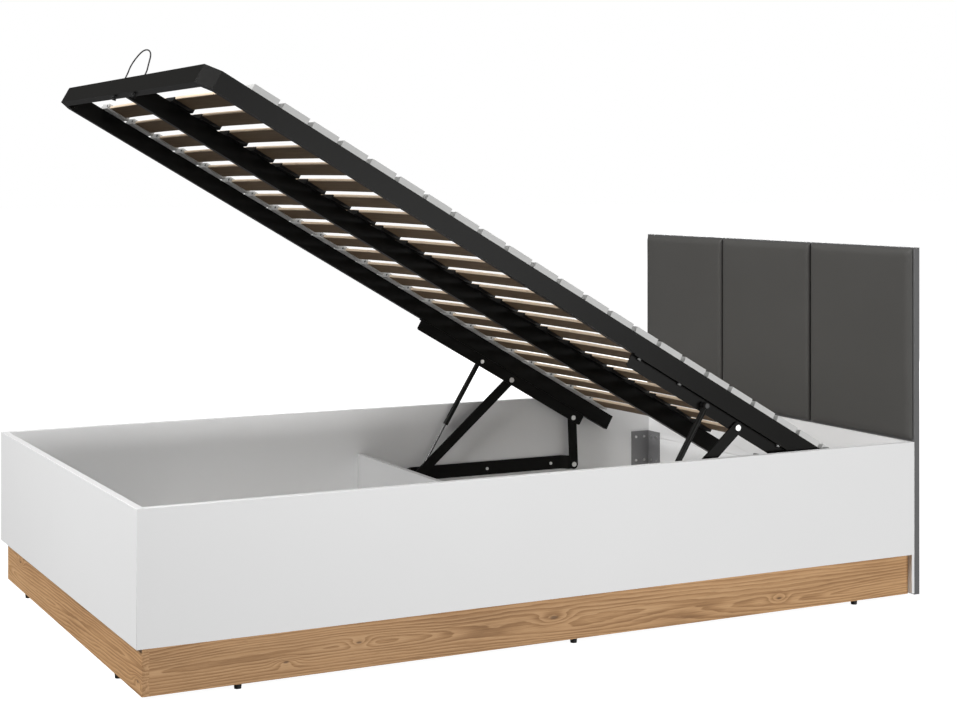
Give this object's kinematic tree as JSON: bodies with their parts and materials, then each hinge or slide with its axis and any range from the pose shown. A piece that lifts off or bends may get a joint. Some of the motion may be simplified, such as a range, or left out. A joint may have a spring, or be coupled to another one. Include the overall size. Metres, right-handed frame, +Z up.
{
  "type": "storage bed",
  "caption": "Storage bed: boxed base on a set-back plinth, low padded headboard, and a slatted metal frame that swings up on arms with gas springs over two bays.",
  "frame": {"origin": "on the floor, under the middle of the bed's overall length and width", "axes": "+X across the bed to the right of someone looking from the foot end, +Y from foot to headboard, +Z up"},
  "size_m": [1.26, 2.067, 1.3941],
  "materials": {
    "white_board": "satin melamine",
    "oak_board": "matt oak decor",
    "raw_board": "raw chipboard",
    "floor_board": "matt",
    "headboard_board": "matt",
    "pad_cover": "soft matt",
    "black_steel": "powder coat",
    "grey_steel": "satin",
    "zinc_steel": "zinc plated",
    "rod_steel": "dark polished",
    "slat_wood": "lacquered birch",
    "cap_plastic": "ribbed",
    "black_plastic": "matt",
    "cord": "braided"
  },
  "bodies": {
    "base": {"side_panel_right": "white_board", "side_panel_left": "white_board", "foot_panel": "white_board", "head_panel": "white_board", "plinth_foot": "oak_board", "plinth_right": "oak_board", "plinth_left": "oak_board", "plinth_rear": "raw_board", "partition": "white_board", "storage_floor_foot": "floor_board", "storage_floor_head": "floor_board", "floor_battens": "raw_board", "centre_bearer": "raw_board", "glides": "black_plastic", "corner_brackets": "grey_steel", "head_bracket": "grey_steel", "bracket_screws": "zinc_steel", "headboard_board": "headboard_board", "headboard_pad_left": "pad_cover", "headboard_pad_centre": "pad_cover", "headboard_pad_right": "pad_cover", "base_rail_right": "black_steel", "base_rail_left": "black_steel", "base_rail_screws": "zinc_steel", "base_rivets": "zinc_steel"},
    "short_arm_right": {"short_arm_right": "black_steel"},
    "short_arm_left": {"short_arm_left": "black_steel"},
    "long_arm_right": {"long_arm_right": "black_steel", "long_arm_stud_right": "zinc_steel"},
    "long_arm_left": {"long_arm_left": "black_steel", "long_arm_stud_left": "zinc_steel"},
    "gas_cylinder_right": {"gas_cylinder_right": "black_steel"},
    "gas_cylinder_left": {"gas_cylinder_left": "black_steel"},
    "gas_rod_right": {"gas_rod_right": "rod_steel"},
    "gas_rod_left": {"gas_rod_left": "rod_steel"},
    "frame": {"lift_rail_right": "black_steel", "lift_rail_left": "black_steel", "lift_rail_bolts": "zinc_steel", "lift_rail_rivets": "zinc_steel", "gas_spring_studs": "zinc_steel", "foot_crossbar": "black_steel", "side_rail_right": "black_steel", "side_rail_left": "black_steel", "centre_beam": "black_steel", "tube_plugs": "black_plastic", "slats": "slat_wood", "slat_caps": "cap_plastic", "slat_cap_pegs": "black_plastic", "slat_clips": "black_plastic", "pull_loop": "cord", "pull_loop_knots": "cord"}
  },
  "joints": [
    {"name": "short_arm_right_pivot", "type": "hinge", "parent": "base", "child": "short_arm_right", "pos_m": [0.5865, 0.7163, 0.194], "axis": [1, 0, 0], "range_deg": [-68.39, 0], "stiffness_Nm_per_rad": 40, "springref_deg": 157.56},
    {"name": "frame_pivot", "type": "hinge", "parent": "short_arm_right", "child": "frame", "pos_m": [0.5865, 0.71049, 0.33928], "axis": [1, 0, 0], "range_deg": [0, 98.3]},
    {"name": "short_arm_left_pivot", "type": "hinge", "parent": "base", "child": "short_arm_left", "pos_m": [-0.5865, 0.7163, 0.194], "axis": [1, 0, 0], "range_deg": [-68.39, 0]},
    {"name": "long_arm_right_pivot", "type": "hinge", "parent": "frame", "child": "long_arm_right", "pos_m": [0.5865, 0.49349, 0.46683], "axis": [1, 0, 0], "range_deg": [-58.88, 0]},
    {"name": "gas_cylinder_right_pivot", "type": "hinge", "parent": "frame", "child": "gas_cylinder_right", "pos_m": [0.598, 0.39263, 0.52795], "axis": [1, 0, 0], "range_deg": [-70.94, 0]},
    {"name": "gas_rod_right_slide", "type": "slide", "parent": "gas_cylinder_right", "child": "gas_rod_right", "axis": [0, -0.5265, -0.8502], "range_m": [-0.09429, 0]},
    {"name": "long_arm_left_pivot", "type": "hinge", "parent": "frame", "child": "long_arm_left", "pos_m": [-0.5865, 0.49349, 0.46683], "axis": [1, 0, 0], "range_deg": [-58.88, 0]},
    {"name": "gas_cylinder_left_pivot", "type": "hinge", "parent": "frame", "child": "gas_cylinder_left", "pos_m": [-0.598, 0.39263, 0.52795], "axis": [1, 0, 0], "range_deg": [-70.94, 0]},
    {"name": "gas_rod_left_slide", "type": "slide", "parent": "gas_cylinder_left", "child": "gas_rod_left", "axis": [0, -0.5265, -0.8502], "range_m": [-0.09429, 0]}
  ],
  "couplings": [
    {"joint": "frame_pivot", "follows": "short_arm_right_pivot", "ratio": -1.4372},
    {"joint": "short_arm_left_pivot", "follows": "short_arm_right_pivot", "ratio": 1},
    {"joint": "long_arm_right_pivot", "follows": "short_arm_right_pivot", "ratio": 0.86087},
    {"joint": "gas_cylinder_right_pivot", "follows": "short_arm_right_pivot", "ratio": 1.0371},
    {"joint": "gas_rod_right_slide", "follows": "short_arm_right_pivot", "m_per_rad": 0.078977},
    {"joint": "long_arm_left_pivot", "follows": "short_arm_right_pivot", "ratio": 0.86087},
    {"joint": "gas_cylinder_left_pivot", "follows": "short_arm_right_pivot", "ratio": 1.0371},
    {"joint": "gas_rod_left_slide", "follows": "short_arm_right_pivot", "m_per_rad": 0.078977}
  ]
}
